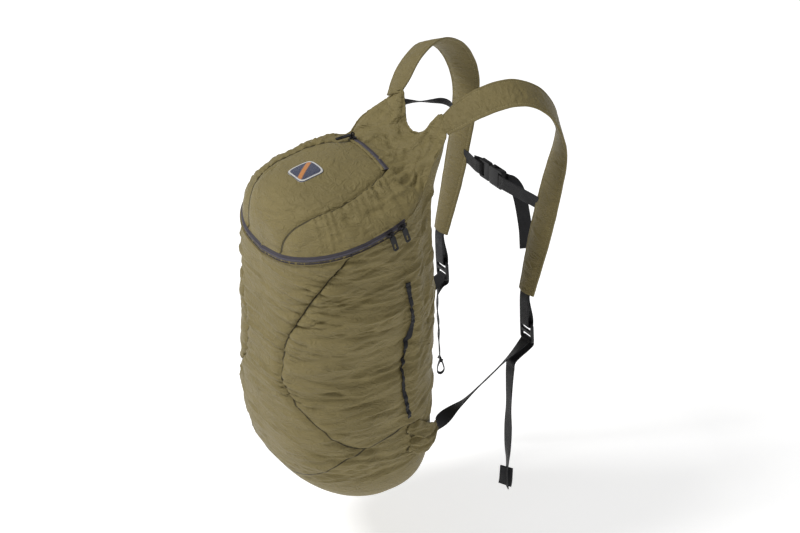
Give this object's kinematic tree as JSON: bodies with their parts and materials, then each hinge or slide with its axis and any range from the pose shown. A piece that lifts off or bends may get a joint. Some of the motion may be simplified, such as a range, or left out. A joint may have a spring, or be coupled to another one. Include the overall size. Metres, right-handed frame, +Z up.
{
  "type": "packable backpack",
  "caption": "Light packable backpack with a zipped domed lid, two shoulder straps, a buckled chest strap and adjustable lower webbing.",
  "frame": {"origin": "midway between the two shoulder straps, at the height of their undersides where they rest on the wearer's shoulders", "axes": "+Z up, +X to the wearer's right, +Y towards the wearer and -Y towards the bag's front"},
  "size_m": [0.2871, 0.45, 0.6695],
  "materials": {
    "shell_cloth": "thin olive nylon with a soft sheen, puckered along its seams",
    "strap_cloth": "olive nylon over thin padding, top-stitched along both edges",
    "zip": "dark grey-purple coil zip on woven tape",
    "zip_metal": "black enamelled die-cast slider",
    "webbing": "black ribbed polyester webbing, matt",
    "hard_plastic": "black moulded plastic with a fine satin texture",
    "patch": "plain embroidered navy patch with a white stitched edge and an orange band"
  },
  "bodies": {
    "pack": {"bag_body": "shell_cloth", "lid": "shell_cloth", "main_zipper": "zip", "pocket_zipper": "zip", "lid_patch": "patch", "shoulder_strap_right": "strap_cloth", "shoulder_strap_left": "strap_cloth", "ladder_lock_right": "hard_plastic", "ladder_lock_left": "hard_plastic", "strap_webbing_right": "webbing", "strap_webbing_left": "webbing", "corner_tab_right": "shell_cloth", "corner_tab_left": "shell_cloth", "lower_webbing_right": "webbing", "lower_webbing_left": "webbing", "side_tape_right": "webbing", "side_tape_left": "webbing", "buckle_socket": "hard_plastic", "buckle_plug": "hard_plastic", "chest_webbing_left": "webbing", "chest_webbing_right": "webbing", "haul_loop": "webbing", "slider_front": "zip_metal", "slider_back": "zip_metal", "slider_pocket": "zip_metal"},
    "pull_front": {"pull_front": "hard_plastic"},
    "pull_back": {"pull_back": "hard_plastic"},
    "pull_pocket": {"pull_pocket": "hard_plastic"}
  },
  "joints": [
    {"name": "pull_front_swing", "type": "hinge", "parent": "pack", "child": "pull_front", "pos_m": [0.13817, -0.21566, -0.12959], "axis": [-0.0406, -0.9573, -0.2861], "range_deg": [0, 150]},
    {"name": "pull_back_swing", "type": "hinge", "parent": "pack", "child": "pull_back", "pos_m": [0.13778, -0.19637, -0.12345], "axis": [0.0585, -0.9424, -0.3295], "range_deg": [0, 150]},
    {"name": "pull_pocket_swing", "type": "hinge", "parent": "pack", "child": "pull_pocket", "pos_m": [-0.04701, -0.15813, -0.07251], "axis": [-0.9815, 0.0982, -0.1642], "range_deg": [0, 150]}
  ]
}
